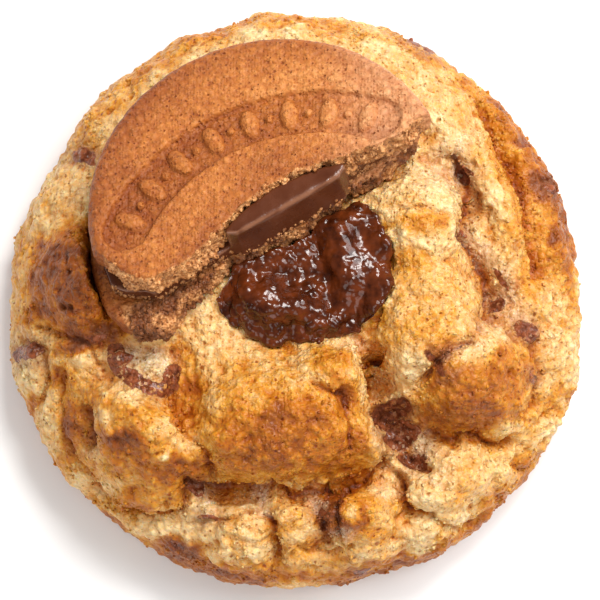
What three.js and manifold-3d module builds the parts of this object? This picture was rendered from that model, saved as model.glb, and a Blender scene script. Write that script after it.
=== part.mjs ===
// A thick, soft baked cookie, about 80 mm across. Half of a round sandwich biscuit
// is pressed into its top at a slant, and melted chocolate runs out below the broken edge.
// Millimetres, +Z up. The cookie rests on its flat base at z = 0, centred on the origin.

import * as THREE from 'three';
import { mergeVertices } from 'three/addons/utils/BufferGeometryUtils.js';
import { ImprovedNoise } from 'three/addons/math/ImprovedNoise.js';
import Module from 'manifold-3d';

const wasm = await Module();
wasm.setup();
const noise = new ImprovedNoise();

// ---- The dough: a full dome on a slightly drawn-in foot ----
const dough = {
  radius: 40.7,
  middle: [0.1, 0.0], // of the outline, from the point that the lumps are placed from
  domeHeight: 22.5, // before the lumps are added
  widestAt: 4.6, // height of the widest ring
  footIn: 1.9, // how far the foot is drawn in from the widest ring
  shoulder: 2.6, // larger is flatter on top and steeper at the side
  fullness: 2.2,
  skirt: 1.2, // made below the base, then trimmed off flat
  baseShare: 0.05, // share of mesh density that the hidden base gets
  detail: 18,
};
// Relief points upward on the top and leans outward, and grows fainter, toward the side.
const lean = { from: 0.68, outward: 0.7, fade: 0.5 };
const roughSide = [
  { length: 8.5, height: 0.75 },
  { length: 4.4, height: 0.45 },
];
const sideIn = 0.45; // the rough side lies this much inside the plain one
const soften = 1; // rounds of smoothing
// Where the outline is pulled in (or, below zero, pushed out), by direction.
const outlineFlats = [
  { toward: 36, spread: 22, inward: 1.2 },
  { toward: 134, spread: 24, inward: 1.1 },
  { toward: 182, spread: 20, inward: 0.5 },
  { toward: -45, spread: 30, inward: -0.7 },
];
const scallop = { height: 0.45, waves: 5.5 };
const grain = { height: 0.5, length: 5.5 }; // soft unevenness all over

// Lumps of dough: [x, y, half length, half width, turn in degrees, rise].
const lumps = [
  [-21.8, -21.2, 12.0, 6.6, -27, 6.0], // front left
  [-1.5, -19.0, 13.8, 10.2, 4, 5.6], // front middle
  [-9.5, -22.5, 6.0, 4.6, 10, 5.4], // its left shoulder
  [5.6, -12.1, 6.2, 4.4, -18, 6.2], // its knob beside the sauce
  [10.9, -21.5, 2.6, 5.4, 8, 3.4],
  [17.6, 8.8, 8.8, 7.2, 10, 4.6], // right of the biscuit
  [18.0, -5.8, 9.2, 10.8, 18, 5.0],
  [25.1, -12.7, 9.4, 8.6, -12, 6.2], // right
  [30.1, -19.1, 5.6, 3.0, 12, 3.0],
  [8.9, -32.6, 6.6, 5.8, 10, 7.0], // bottom, browned
  [-1.0, -34.0, 4.8, 6.4, 0, 4.8],
  [-7.8, -35.0, 5.6, 5.2, 0, 4.2],
  [21.2, -28.5, 8.4, 7.0, 28, 5.2], // bottom right, pale
  [30.6, -26.0, 3.8, 3.8, 0, 2.8],
  [-20.2, -30.3, 7.2, 3.6, -12, 3.8], // low shelf on the left
  [-15.2, -34.8, 6.8, 2.6, -24, 2.0],
  [-30.4, 1.1, 6.6, 8.6, 20, 6.0], // left, dark browned
  [-30.3, -9.2, 5.0, 4.0, 20, 2.4],
  [-37.0, -3.0, 2.6, 4.6, 0, 2.2],
  [-36.0, -12.2, 2.6, 4.8, 10, 2.2],
  [-31.0, -21.5, 3.4, 8.2, 28, 1.8],
  [-33.0, 13.4, 5.4, 5.4, 0, 2.8],
  [-25.2, 25.8, 7.4, 3.0, 46, 2.4],
  [-15.8, 31.8, 8.4, 2.6, 30, 2.2],
  [0.8, 35.8, 14.0, 3.0, -2, 2.2], // top rim
  [18.6, 33.0, 7.2, 3.2, -32, 2.2],
  [21.7, 24.6, 10.4, 6.4, -46, 3.6], // upper right
  [28.3, 12.4, 9.8, 3.4, -62, 3.6],
  [32.6, 3.5, 4.0, 9.2, 8, 2.2],
  [29.4, 24.5, 5.0, 2.6, -48, 4.6], // raised browned crust on the right rim
  [34.2, 16.6, 5.4, 2.5, -62, 4.6],
  [37.0, 7.0, 5.6, 2.2, -78, 4.2],
  [36.8, -9.0, 2.6, 6.2, 4, 2.4],
  [34.6, -18.4, 3.6, 3.8, -20, 2.0],
];
const lumpEdge = { flat: 2.4, fall: 0.7 }; // a flatter top, and a gentler fall at the edge
const lumpBlend = 0.8; // millimetres over which two lumps melt together

// Creases between the lumps: width and depth, then the line that each follows.
const creases = [
  { wide: 2.4, deep: 2.9, path: [[-13.5, -28.2], [-8.2, -29], [2.2, -28.8], [7, -27.5], [12.4, -25.7]] },
  { wide: 1.9, deep: 3.4, path: [[10.4, -9.3], [10.8, -12.3], [12.9, -16.7]] },
  { wide: 3.2, deep: 3.1, path: [[12.6, -17.2], [14.5, -19.5], [16.2, -22.6], [17.9, -25.2]] },
  { wide: 1.9, deep: 2.4, path: [[17.8, -20.1], [21.5, -21.1], [25.7, -20.8], [29.3, -21.5]] },
  { wide: 2.2, deep: 2.5, path: [[18.7, 17.8], [22.5, 15.9], [24.7, 12.0], [24.7, 4.5], [28.9, -4.1]] },
  { wide: 1.8, deep: 1.4, path: [[25.9, 27.5], [27.7, 22.6], [31.3, 16.0], [33.8, 9.0], [34.9, 2.0]] },
  { wide: 2.0, deep: 1.8, path: [[2.2, -30.2], [3.6, -33.0], [4.3, -35.7]] },
  { wide: 1.8, deep: 1.9, path: [[-3.3, -29.7], [-2.9, -33.7], [-2.4, -37.4]] },
  { wide: 1.8, deep: 2.4, path: [[14.2, -26.6], [14.8, -30.2], [15.8, -32.7]] },
  { wide: 1.8, deep: 1.7, path: [[-37.4, -7.5], [-35.0, -8.1], [-34.5, -11.4], [-35.8, -15.2]] },
  { wide: 1.8, deep: 1.7, path: [[-27.8, -27.8], [-22.9, -30.8], [-17.5, -32.1], [-14.4, -28.0]] },
  { wide: 3.0, deep: 1.4, path: [[-15.1, -9.3], [-15.9, -16.1], [-14.9, -21.5], [-12.1, -26.9]] },
  { wide: 2.2, deep: 1.0, path: [[12.0, 9.4], [15.9, 8.4], [20.0, 8.8], [23.0, 9.7]] },
  { wide: 1.8, deep: 1.9, path: [[-29.6, -16.1], [-28.7, -18.9], [-28.6, -21.0]] },
];
const sauceHollow = { x: 2.5, y: 0, reach: 13, deep: 2.4 };

// ---- The biscuit: two wafers with chocolate between them, broken across ----
const biscuit = {
  radius: 25,
  centre: new THREE.Vector3(-4.4, 11.2, 29.6), // middle of its face before the break
  turn: 24, // direction of the broken edge, from +X
  tilt: 22, // how far the round edge dips
  topThick: 4.3,
  fillThick: 2.3,
  bottomThick: 3.2,
  gap: 0.3,
  rim: 1.5, // rounding of the baked rim
  fillIn: 0.9, // the filling stops this far inside the rim
  slip: [-0.7, -0.5], // the lower wafer has slid sideways
  segments: 60,
};
const topBottom = -biscuit.topThick;
const fillTop = topBottom - biscuit.gap;
const fillBottom = fillTop - biscuit.fillThick;
const lowerTop = fillBottom - biscuit.gap;
const lowerBottom = lowerTop - biscuit.bottomThick;

// Each broken edge runs from left to right across the round, in the biscuit's own frame.
const notch = { x: 5.2, y: -22.4, radius: 23.7, from: -7.6, to: 13.0 }; // bite-shaped gap in the top
const topBreakLeft = [
  [-23.9, 2.6], [-22.8, 0.4], [-21.5, -2.0], [-18.9, -4.9], [-16.7, -4.9], [-11.0, -3.8],
];
const topBreakRight = [[13.7, 0.2], [17.8, 0.0], [21.2, 0.4], [25.3, 1.4]];
const fillBreak = [
  [-24.4, 1.0], [-22.2, -2.6], [-18.6, -4.6], [-11.2, -3.4], [-7.0, -3.0], [-2.4, -2.0],
  [7.6, -2.1], [11.4, -0.2], [14.7, 0.9], [19.8, 1.6], [24.6, 3.2],
];
const lowerBreak = [
  [-26.2, 1.6], [-25.6, -2.4], [-24.2, -5.4], [-20.0, -9.4], [-15.8, -6.4], [-11.6, -4.6],
  [-7.2, -2.9], [2.4, -2.9], [8.9, -1.5], [11.4, 0.2], [15.0, -0.3], [21.4, 1.8], [23.4, 3.5],
];
const crumbly = { step: 1.3, rough: 0.28 }; // small teeth along a broken edge

// The raised chocolate that stands in the notch.
const bar = { top: -0.8, width: 3.5, lean: 0.4, round: 0.7, from: -6.6, to: 12.0 };

// An arched band is pressed into the face, with round ends. A row of long beads stands in it,
// with a small pip between each two.
const band = { ring: 27, below: 15.6, spread: 88, halfWide: 3.3, deep: 0.5 };
const beads = { count: 8, spread: 82, long: 2.4, wide: 1.3, rise: 0.15 };
const pips = { half: 0.65, rise: 0 };

// ---- The melted chocolate: its reach from a middle point, by direction ----
const sauce = {
  x: 2.5,
  y: 1.0,
  thick: 3.6,
  edge: -0.6, // the edge dips this far under the dough's surface
  clear: 0.35, // space kept to the dough and to the biscuit
  detail: 9,
  under: 6,
};
const sauceReach = [
  [-164, 14.9], [-154, 13.8], [-137, 12.2], [-123, 11.8], [-109, 9.6], [-75, 9.6], [-42, 10.6],
  [-20, 10.9], [6, 11.3], [34, 11.9], [54, 13.6], [69, 9.7], [112, 6.5], [180, 12.5],
];
const sauceLobes = [
  [9.8, 2.8, 4.6, 4.8, 0, 2.2],
  [-2.8, -2.6, 5.6, 3.6, -10, 1.9],
  [7.2, 8.8, 4.0, 4.6, 30, 1.9],
  [3.6, -4.8, 3.6, 2.4, 0, 1.2],
  [-8.2, -1.8, 3.2, 2.4, 25, 1.4],
];

const rad = THREE.MathUtils.degToRad;
const { clamp, smoothstep } = THREE.MathUtils;

// ---- Joining and cutting ----
function toSolid(geometry) {
  const bare = geometry.clone();
  bare.deleteAttribute('normal');
  bare.deleteAttribute('uv');
  const merged = mergeVertices(bare, 1e-4);
  const vertProperties = Float32Array.from(merged.attributes.position.array);
  const triVerts = Uint32Array.from(merged.index.array);
  return new wasm.Manifold(new wasm.Mesh({ numProp: 3, vertProperties, triVerts }));
}

function toGeometry(solid) {
  const mesh = solid.getMesh();
  const geometry = new THREE.BufferGeometry();
  geometry.setAttribute('position', new THREE.BufferAttribute(mesh.vertProperties, 3));
  geometry.setIndex(new THREE.BufferAttribute(mesh.triVerts, 1));
  geometry.computeVertexNormals();
  return geometry;
}

// Cutting can leave loose scraps, so only the largest body is kept.
function largest(solid) {
  const bodies = solid.decompose();
  return bodies.reduce((best, body) => (body.volume() > best.volume() ? body : best));
}

// ---- Dough ----
// A lump's height at one place: full in its middle, falling steeply at its edge.
function lumpAt([cx, cy, long, wide, turn, rise], x, y) {
  const c = Math.cos(rad(turn));
  const s = Math.sin(rad(turn));
  const u = ((x - cx) * c + (y - cy) * s) / long;
  const v = ((y - cy) * c - (x - cx) * s) / wide;
  const q = Math.hypot(u, v);
  return q < 1 ? rise * (1 - q ** lumpEdge.flat) ** lumpEdge.fall : 0;
}

// The highest lump wins, with a soft blend where two meet.
function lumpHeight(list, x, y) {
  const total = list.reduce((sum, lump) => sum + Math.exp(lumpAt(lump, x, y) / lumpBlend), 0);
  const bare = Math.log(list.length);
  return lumpBlend * (Math.log(total) - bare * Math.exp(-(Math.log(total) - bare)));
}

function distanceToPath(path, x, y) {
  let nearest = Infinity;
  for (let i = 1; i < path.length; i += 1) {
    const [ax, ay] = path[i - 1];
    const [bx, by] = path[i];
    const along = ((x - ax) * (bx - ax) + (y - ay) * (by - ay)) / ((bx - ax) ** 2 + (by - ay) ** 2);
    const t = clamp(along, 0, 1);
    nearest = Math.min(nearest, Math.hypot(x - ax - t * (bx - ax), y - ay - t * (by - ay)));
  }
  return nearest;
}

function creaseDepth(x, y) {
  return creases.reduce((deepest, { wide, deep, path }) => {
    const d = distanceToPath(path, x, y) / wide;
    return Math.max(deepest, deep * Math.exp(-d * d));
  }, 0);
}

// How far the outline reaches in a direction, in millimetres.
function outlineRadius(angle) {
  const waves = noise.noise(scallop.waves * Math.cos(angle), scallop.waves * Math.sin(angle), 3.7);
  const pulled = outlineFlats.reduce((sum, { toward, spread, inward }) => {
    const away = Math.atan2(Math.sin(angle - rad(toward)), Math.cos(angle - rad(toward)));
    return sum + inward * Math.exp(-((away / rad(spread)) ** 2));
  }, 0);
  return dough.radius - pulled + 2 * scallop.height * waves;
}

function domeAt(share) {
  const rise = (1 - Math.min(share, 1) ** dough.shoulder) ** (1 / dough.fullness);
  return dough.widestAt + (dough.domeHeight - dough.widestAt) * rise;
}

// What stands above the plain dome at one place.
function relief(x, y) {
  const k = 1 / grain.length;
  const uneven = 2 * grain.height * noise.noise(x * k, y * k, 1.3);
  const hollow = Math.hypot(x - sauceHollow.x, y - sauceHollow.y) / sauceHollow.reach;
  const sunk = sauceHollow.deep * Math.exp(-(hollow ** 4));
  return lumpHeight(lumps, x, y) + uneven - creaseDepth(x, y) - sunk;
}

function shareOfRadius(x, y) {
  const [dx, dy] = [x - dough.middle[0], y - dough.middle[1]];
  return Math.hypot(dx, dy) / outlineRadius(Math.atan2(dy, dx));
}

// The top surface's height where the dome is nearly level.
function surfaceHeight(x, y) {
  return domeAt(shareOfRadius(x, y)) + relief(x, y);
}

// Crags on the side, which die out toward the level top.
function sideCrags(x, y, z) {
  return roughSide.reduce((sum, { length, height }) => (
    sum + 2 * height * noise.noise(x / length, y / length, z / length + 5.2)
  ), 0);
}

// One side of the dome from its top to the middle of its base: share of the radius, and height.
function meridian() {
  const steps = 90;
  const line = [];
  for (let i = 0; i <= steps; i += 1) {
    const share = Math.sin((i / steps) * Math.PI / 2);
    line.push([share, domeAt(share), 1]);
  }
  const foot = 1 - dough.footIn / dough.radius;
  for (let i = 1; i <= 8; i += 1) {
    const t = i / 8;
    line.push([1 - (1 - foot) * t * t, dough.widestAt * (1 - t) - dough.skirt * t, 1]);
  }
  line.push([0, -dough.skirt, dough.baseShare]);
  return line;
}

// Spreads mesh rings evenly by area: from a share of the whole surface to a place on the side.
function meridianByArea() {
  const line = meridian();
  const total = [0];
  for (let i = 1; i < line.length; i += 1) {
    const [r0, z0] = line[i - 1];
    const [r1, z1, weight] = line[i];
    const length = Math.hypot((r1 - r0) * dough.radius, z1 - z0);
    total.push(total[i - 1] + weight * length * (r0 + r1) / 2);
  }
  const end = total[total.length - 1];
  return (fraction) => {
    const want = fraction * end;
    let i = 1;
    while (i < line.length - 1 && total[i] < want) i += 1;
    const t = (want - total[i - 1]) / (total[i] - total[i - 1]);
    const [r0, z0] = line[i - 1];
    const [r1, z1, weight] = line[i];
    const share = weight < 1 ? Math.sqrt(Math.max(0, 1 - t)) * r0 : r0 + (r1 - r0) * t;
    return { share, height: z0 + (z1 - z0) * t };
  };
}

function doughShape() {
  const shape = mergeVertices(bareSphere(dough.detail), 1e-5);
  const place = meridianByArea();
  const p = shape.attributes.position;
  for (let i = 0; i < p.count; i += 1) {
    const angle = Math.atan2(p.getY(i), p.getX(i));
    const { share, height } = place((1 - clamp(p.getZ(i), -1, 1)) / 2);
    const reach = share * outlineRadius(angle);
    const x = dough.middle[0] + reach * Math.cos(angle);
    const y = dough.middle[1] + reach * Math.sin(angle);
    const side = height < dough.widestAt ? 1 : smoothstep(share, lean.from, 1);
    const steady = smoothstep(height, -dough.skirt, dough.widestAt); // the foot keeps its line
    const push = relief(x, y) * (1 - lean.fade * side) * steady;
    const crag = (sideCrags(x, y, height) - sideIn) * side * steady;
    const outward = push * lean.outward * side + crag;
    p.setXYZ(
      i,
      x + outward * Math.cos(angle),
      y + outward * Math.sin(angle),
      height + push * (1 - side),
    );
  }
  return softened(shape, soften);
}

// Moves each point halfway to the middle of its neighbours.
function softened(shape, times) {
  const p = shape.attributes.position;
  const corners = shape.index.array;
  for (let time = 0; time < times; time += 1) {
    const sums = Array.from({ length: p.count }, () => [0, 0, 0, 0]);
    for (let i = 0; i < corners.length; i += 1) {
      const next = corners[i % 3 === 2 ? i - 2 : i + 1];
      const sum = sums[corners[i]];
      sum[0] += p.getX(next);
      sum[1] += p.getY(next);
      sum[2] += p.getZ(next);
      sum[3] += 1;
    }
    sums.forEach(([x, y, z, n], i) => {
      p.setXYZ(i, (p.getX(i) + x / n) / 2, (p.getY(i) + y / n) / 2, (p.getZ(i) + z / n) / 2);
    });
  }
  return shape;
}

function bareSphere(detail) {
  const sphere = new THREE.IcosahedronGeometry(1, detail);
  sphere.deleteAttribute('normal');
  sphere.deleteAttribute('uv');
  return sphere;
}

// ---- Biscuit ----
// Small uneven teeth along a broken edge, the same at every run.
function crumbled(points, seed) {
  const edge = [];
  for (let i = 1; i < points.length; i += 1) {
    const [ax, ay] = points[i - 1];
    const [bx, by] = points[i];
    const length = Math.hypot(bx - ax, by - ay);
    const pieces = Math.max(1, Math.round(length / crumbly.step));
    for (let k = 0; k < pieces; k += 1) {
      const t = k / pieces;
      const x = ax + (bx - ax) * t;
      const y = ay + (by - ay) * t;
      const push = 2 * crumbly.rough * noise.noise(x * 0.9, y * 0.9, seed);
      edge.push([x - (push * (by - ay)) / length, y + (push * (bx - ax)) / length]);
    }
  }
  edge.push(points[points.length - 1]);
  return edge;
}

// A slab whose near side is the broken edge and whose far side clears the round.
function beyondBreak(edge, top, bottom) {
  const far = biscuit.radius + 6;
  const outline = [[-far, far], [-far, edge[0][1]], ...edge, [far, edge[edge.length - 1][1]], [far, far]];
  const shape = new THREE.Shape(outline.map(([x, y]) => new THREE.Vector2(x, y)));
  const slab = new THREE.ExtrudeGeometry(shape, { depth: top - bottom, bevelEnabled: false });
  return toSolid(slab.translate(0, 0, bottom));
}

// A whole round with softly rounded rims.
function round(radius, top, bottom, rim, [cx, cy] = [0, 0]) {
  const profile = [new THREE.Vector2(0, bottom)];
  for (let i = 0; i <= 4; i += 1) {
    const a = (i / 4) * Math.PI / 2;
    const x = radius - rim + rim * Math.sin(a);
    profile.push(new THREE.Vector2(x, bottom + rim * (1 - Math.cos(a))));
  }
  for (let i = 0; i <= 4; i += 1) {
    const a = (i / 4) * Math.PI / 2;
    const x = radius - rim + rim * Math.cos(a);
    profile.push(new THREE.Vector2(x, top - rim * (1 - Math.sin(a))));
  }
  profile.push(new THREE.Vector2(0, top));
  const disc = new THREE.LatheGeometry(profile, biscuit.segments);
  disc.rotateX(Math.PI / 2);
  return toSolid(disc.translate(cx, cy, 0));
}

// Points on the notch's arc, from left to right, drawn in by a clearance.
function notchArc(clearance, from, to, steps) {
  const radius = notch.radius - clearance;
  return Array.from({ length: steps + 1 }, (_, i) => {
    const x = from + ((to - from) * i) / steps;
    return [x, notch.y + Math.sqrt(radius ** 2 - (x - notch.x) ** 2)];
  });
}

function topEdge() {
  const arc = notchArc(0, notch.from, notch.to, 14);
  return [...crumbled([...topBreakLeft, arc[0]], 2.1), ...arc.slice(1), ...crumbled(topBreakRight, 4.6)];
}

function pressedBand() {
  const [start, end] = [rad(90 - band.spread / 2), rad(90 + band.spread / 2)];
  const endAt = (angle) => [band.ring * Math.cos(angle), band.ring * Math.sin(angle)];
  const shape = new THREE.Shape();
  shape.absarc(0, 0, band.ring + band.halfWide, start, end, false);
  shape.absarc(...endAt(end), band.halfWide, end, end + Math.PI, false);
  shape.absarc(0, 0, band.ring - band.halfWide, end, start, true);
  shape.absarc(...endAt(start), band.halfWide, start + Math.PI, start + 2 * Math.PI, false);
  const slab = new THREE.ExtrudeGeometry(shape, { depth: 2, curveSegments: 16, bevelEnabled: false });
  return toSolid(slab.translate(0, -band.below, -band.deep));
}

// One low, rounded bead standing on the band's floor, its top a little over the face.
function bead(x, y, turn, long, wide, rise) {
  const dome = new THREE.SphereGeometry(1, 12, 8);
  dome.rotateX(Math.PI / 2);
  dome.scale(wide, long, rise + band.deep);
  dome.rotateZ(turn);
  return toSolid(dome.translate(x, y, -band.deep));
}

function beadRow() {
  const row = [];
  const places = 2 * beads.count - 1;
  for (let i = 0; i < places; i += 1) {
    const angle = rad(90 + beads.spread * (0.5 - i / (places - 1)));
    const x = band.ring * Math.cos(angle);
    const y = band.ring * Math.sin(angle) - band.below;
    const turn = angle - Math.PI / 2;
    const isPip = i % 2 === 1;
    row.push(isPip
      ? bead(x, y, turn, pips.half, pips.half, pips.rise)
      : bead(x, y, turn, beads.long, beads.wide, beads.rise));
  }
  return row;
}

function topWafer() {
  const whole = round(biscuit.radius, 0, topBottom, biscuit.rim, [0.7, -0.1]);
  const broken = whole.intersect(beyondBreak(topEdge(), 2, topBottom - 1)).subtract(pressedBand());
  return largest(beadRow().reduce((wafer, one) => wafer.add(one), broken));
}

// The chocolate's raised part fills the notch: its side view runs along the notch's arc,
// wide in the middle and narrow at both ends, with a front that leans outward.
function raisedBar() {
  const side = new THREE.Shape();
  side.moveTo(0, fillBottom);
  side.lineTo(-1, fillBottom);
  side.lineTo(-1, bar.top - bar.round);
  side.quadraticCurveTo(-1, bar.top, -1 + bar.round / bar.width, bar.top);
  side.lineTo(0, bar.top);
  const length = bar.to - bar.from;
  const steps = { steps: 14, curveSegments: 4, bevelEnabled: false };
  const block = new THREE.ExtrudeGeometry(side, { depth: length, ...steps });
  const p = block.attributes.position;
  for (let i = 0; i < p.count; i += 1) {
    const [across, z, along] = [p.getX(i), p.getY(i), p.getZ(i)];
    const x = bar.from + along;
    const back = notchArc(biscuit.gap, x, x, 1)[0][1];
    const bulge = Math.sin(Math.PI * clamp(along / length, 0, 1)) ** 0.5;
    const width = 0.5 + (bar.width - 0.5) * bulge;
    const lower = (bar.lean * (bar.top - z)) / (bar.top - fillBottom);
    p.setXYZ(i, x, back + across * (width + lower), z);
  }
  return toSolid(block);
}

function filling() {
  const whole = round(biscuit.radius - biscuit.fillIn, fillTop, fillBottom, 0.6, [0.4, -0.1]);
  const beyond = beyondBreak(crumbled(fillBreak, 7.4), fillTop + 1, fillBottom - 1);
  return largest(whole.intersect(beyond).add(raisedBar()));
}

function lowerWafer() {
  const whole = round(biscuit.radius, lowerTop, lowerBottom, biscuit.rim, biscuit.slip);
  const beyond = beyondBreak(crumbled(lowerBreak, 9.2), lowerTop + 1, lowerBottom - 1);
  return largest(whole.intersect(beyond));
}

// The room that the biscuit needs: each wafer a little larger, open upward.
function biscuitRoom(clear) {
  const grown = biscuit.radius + clear;
  const above = 14;
  const nearer = (edge) => edge.map(([x, y]) => [x + 0.25 * Math.sign(x) * clear, y - clear - 0.15]);
  const sides = [
    { edge: nearer(topEdge()), at: [0.7, -0.1] },
    { edge: nearer(lowerBreak), at: biscuit.slip },
  ];
  const [first, second] = sides.map(({ edge, at }) => {
    const bottom = lowerBottom - clear;
    return round(grown, above, bottom, 0.8, at).intersect(beyondBreak(edge, above + 1, bottom - 1));
  });
  return toGeometry(first.add(second));
}

// ---- Sauce ----
function sauceRadius(angle) {
  const degrees = THREE.MathUtils.radToDeg(angle);
  const next = sauceReach.findIndex(([at]) => at >= degrees);
  const upper = next < 0 ? 0 : next;
  const lower = (upper - 1 + sauceReach.length) % sauceReach.length;
  const [a0, r0] = sauceReach[lower];
  const [a1, r1] = sauceReach[upper];
  const span = (a1 - a0 + 360) % 360;
  const t = ((degrees - a0 + 360) % 360) / span;
  return r0 + (r1 - r0) * smoothstep(t, 0, 1);
}

function sauceShape() {
  const shape = mergeVertices(bareSphere(sauce.detail), 1e-5);
  const p = shape.attributes.position;
  for (let i = 0; i < p.count; i += 1) {
    const [dx, dy, dz] = [p.getX(i), p.getY(i), p.getZ(i)];
    const angle = Math.atan2(dy, dx);
    const share = Math.sqrt(clamp(dz > 0 ? 1.6 * (1 - dz) : 1 + dz, 0, 1));
    const x = sauce.x + share * sauceRadius(angle) * Math.cos(angle);
    const y = sauce.y + share * sauceRadius(angle) * Math.sin(angle);
    const swell = (1 - share ** 3) ** 0.5;
    const body = sauce.thick * swell + lumpHeight(sauceLobes, x, y) * swell + sauce.edge;
    const isTop = dz > 0.375;
    p.setXYZ(i, x, y, isTop ? surfaceHeight(x, y) + body : surfaceHeight(x, y) - sauce.under * (0.375 - dz));
  }
  return toSolid(shape);
}

// ---- Putting it together ----
const doughColour = 0xd9a45b;
const biscuitColour = 0xb5713e;
const fillingColour = 0x6a3c2a;
const sauceColour = 0x3f1a10;

function piece(name, solid, color, roughness) {
  const mesh = new THREE.Mesh(toGeometry(solid), new THREE.MeshStandardMaterial({ color, roughness }));
  mesh.name = name;
  mesh.material.metalness = 0;
  return mesh;
}

function biscuitGroup() {
  const tilted = new THREE.Group();
  tilted.rotation.x = -rad(biscuit.tilt);
  tilted.add(piece('biscuit_top', topWafer(), biscuitColour, 0.8));
  tilted.add(piece('filling', filling(), fillingColour, 0.4));
  tilted.add(piece('biscuit_bottom', lowerWafer(), biscuitColour, 0.8));
  const turned = new THREE.Group();
  turned.rotation.z = rad(biscuit.turn);
  turned.position.copy(biscuit.centre);
  turned.add(tilted);
  turned.updateMatrixWorld(true);
  return turned;
}

const sandwich = biscuitGroup();
const intoPlace = sandwich.children[0].matrixWorld;
const belowBase = toSolid(new THREE.BoxGeometry(120, 120, 20).translate(0, 0, -10));
const wholeDough = toSolid(doughShape()).subtract(belowBase);

const dent = toSolid(biscuitRoom(biscuit.gap + 0.1).applyMatrix4(intoPlace));
const dented = largest(wholeDough.subtract(dent));

const beside = toSolid(biscuitRoom(sauce.clear + 0.1).applyMatrix4(intoPlace));
const raised = wholeDough.translate([0, 0, sauce.clear]);
const poured = largest(sauceShape().subtract(raised).subtract(beside));

const cookie = new THREE.Group();
cookie.add(piece('dough', dented, doughColour, 0.75));
cookie.add(piece('chocolate_sauce', poured, sauceColour, 0.15));
cookie.add(sandwich);

// The whole is shifted so that its outline is centred on the origin.
const box = new THREE.Box3().setFromObject(cookie, true);
const middle = box.getCenter(new THREE.Vector3());
cookie.position.set(-middle.x, -middle.y, -box.min.z);

const group = new THREE.Group();
group.add(cookie);
group.updateMatrixWorld(true);

export default group;
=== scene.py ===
import bpy
import math
import numpy as np
from mathutils import Vector, Matrix, noise


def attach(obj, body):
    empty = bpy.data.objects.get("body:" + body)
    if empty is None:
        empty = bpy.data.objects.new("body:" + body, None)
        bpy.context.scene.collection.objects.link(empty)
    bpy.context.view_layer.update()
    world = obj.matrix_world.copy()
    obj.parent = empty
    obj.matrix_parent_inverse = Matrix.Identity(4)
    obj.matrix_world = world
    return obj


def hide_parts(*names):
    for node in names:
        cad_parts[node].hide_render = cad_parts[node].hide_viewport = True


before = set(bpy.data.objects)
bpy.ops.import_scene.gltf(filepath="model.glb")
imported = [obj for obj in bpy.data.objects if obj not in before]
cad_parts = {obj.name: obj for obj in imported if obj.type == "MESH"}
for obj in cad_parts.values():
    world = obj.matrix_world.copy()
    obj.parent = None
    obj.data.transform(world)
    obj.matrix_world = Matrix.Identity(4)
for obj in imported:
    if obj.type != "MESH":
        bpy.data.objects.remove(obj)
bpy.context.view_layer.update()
mm = 0.001
placed = (-0.04, -0.07)  # millimetres from the biscuit's and the lumps' own zero to the object's origin

# the camera looks down at the cookie as in the picture, 84 mm across 600 pixels
view = {"target": (0.8, -0.75, 10.0), "elevation": 83, "distance": 600.0, "across": 84.0, "pixels": 600}


def viewAxes():
    tilt = math.radians(view["elevation"])
    right = np.array((1.0, 0.0, 0.0))
    up = np.array((0.0, math.sin(tilt), math.cos(tilt)))
    away = np.array((0.0, math.cos(tilt), -math.sin(tilt)))
    return right, up, away


def eyePlace():
    target = np.array(view["target"]) + np.array((*placed, 0.0))
    return (target - viewAxes()[2] * view["distance"]) * mm


def pictureOf(points):  # where points show, in the picture's pixels
    right, up, away = viewAxes()
    fromEye = points - eyePlace()
    scale = view["distance"] * view["pixels"] / view["across"] / (fromEye @ away)
    middle = view["pixels"] / 2
    return np.stack((middle + fromEye @ right * scale, middle - fromEye @ up * scale), 1)


def makeCamera():
    right, up, away = viewAxes()
    data = bpy.data.cameras.new("camera")
    data.sensor_width = 36
    data.lens = data.sensor_width * view["distance"] / view["across"]
    camera = bpy.data.objects.new("camera", data)
    axes = Matrix((right, up, -away)).transposed().to_4x4()
    camera.matrix_world = Matrix.Translation(eyePlace()) @ axes
    bpy.context.collection.objects.link(camera)
    bpy.context.scene.camera = camera


# Tools that several pieces use. Sizes are in millimetres, and meshes in metres.

def smooth(value, low, high):
    t = np.clip((value - low) / (high - low), 0, 1)
    return t * t * (3 - 2 * t)


def pointsOf(piece):
    points = np.empty(len(piece.data.vertices) * 3)
    piece.data.vertices.foreach_get("co", points)
    return points.reshape(-1, 3)


def normalsOf(piece):
    normals = np.empty(len(piece.data.vertices) * 3, np.float32)
    piece.data.vertex_normals.foreach_get("vector", normals)
    return normals.reshape(-1, 3).astype(float)


def movePoints(piece, points):
    piece.data.vertices.foreach_set("co", points.ravel())
    piece.data.update()


def setMask(piece, name, values):
    mask = piece.data.attributes.new(name, "FLOAT", "POINT")
    mask.data.foreach_set("value", values.astype(np.float32))


def maskOf(piece, name):
    values = np.empty(len(piece.data.vertices), np.float32)
    piece.data.attributes[name].data.foreach_get("value", values)
    return values


def seedShift(seed):  # each seed moves a pattern to a place of its own
    return Vector((seed * 7.31, seed * 3.17, seed * 5.73))


def noiseAt(points, size, seed):  # soft noise from -1 to 1, one wave about size long
    shift = seedShift(seed)
    return np.array([noise.noise(Vector(p) + shift) for p in points / (size * mm)])


def cellsAt(points, size, seed):  # distance to the middle of the nearest cell, measured in cells
    shift = seedShift(seed)
    return np.array([noise.voronoi(Vector(p) + shift)[0][0] for p in points / (size * mm)])


def waves(points, relief, seed):  # relief is a pair of size and height
    return noiseAt(points, relief[0], seed) * relief[1]


def grainsAt(points, size, seed):  # rounded grains: 1 in a grain's middle, 0 between grains
    return 1 - np.clip(cellsAt(points, size, seed) * 1.15, 0, 1) ** 2


def beads(points, relief, seed):
    return (grainsAt(points, relief[0], seed) - 0.5) * relief[1]


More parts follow.
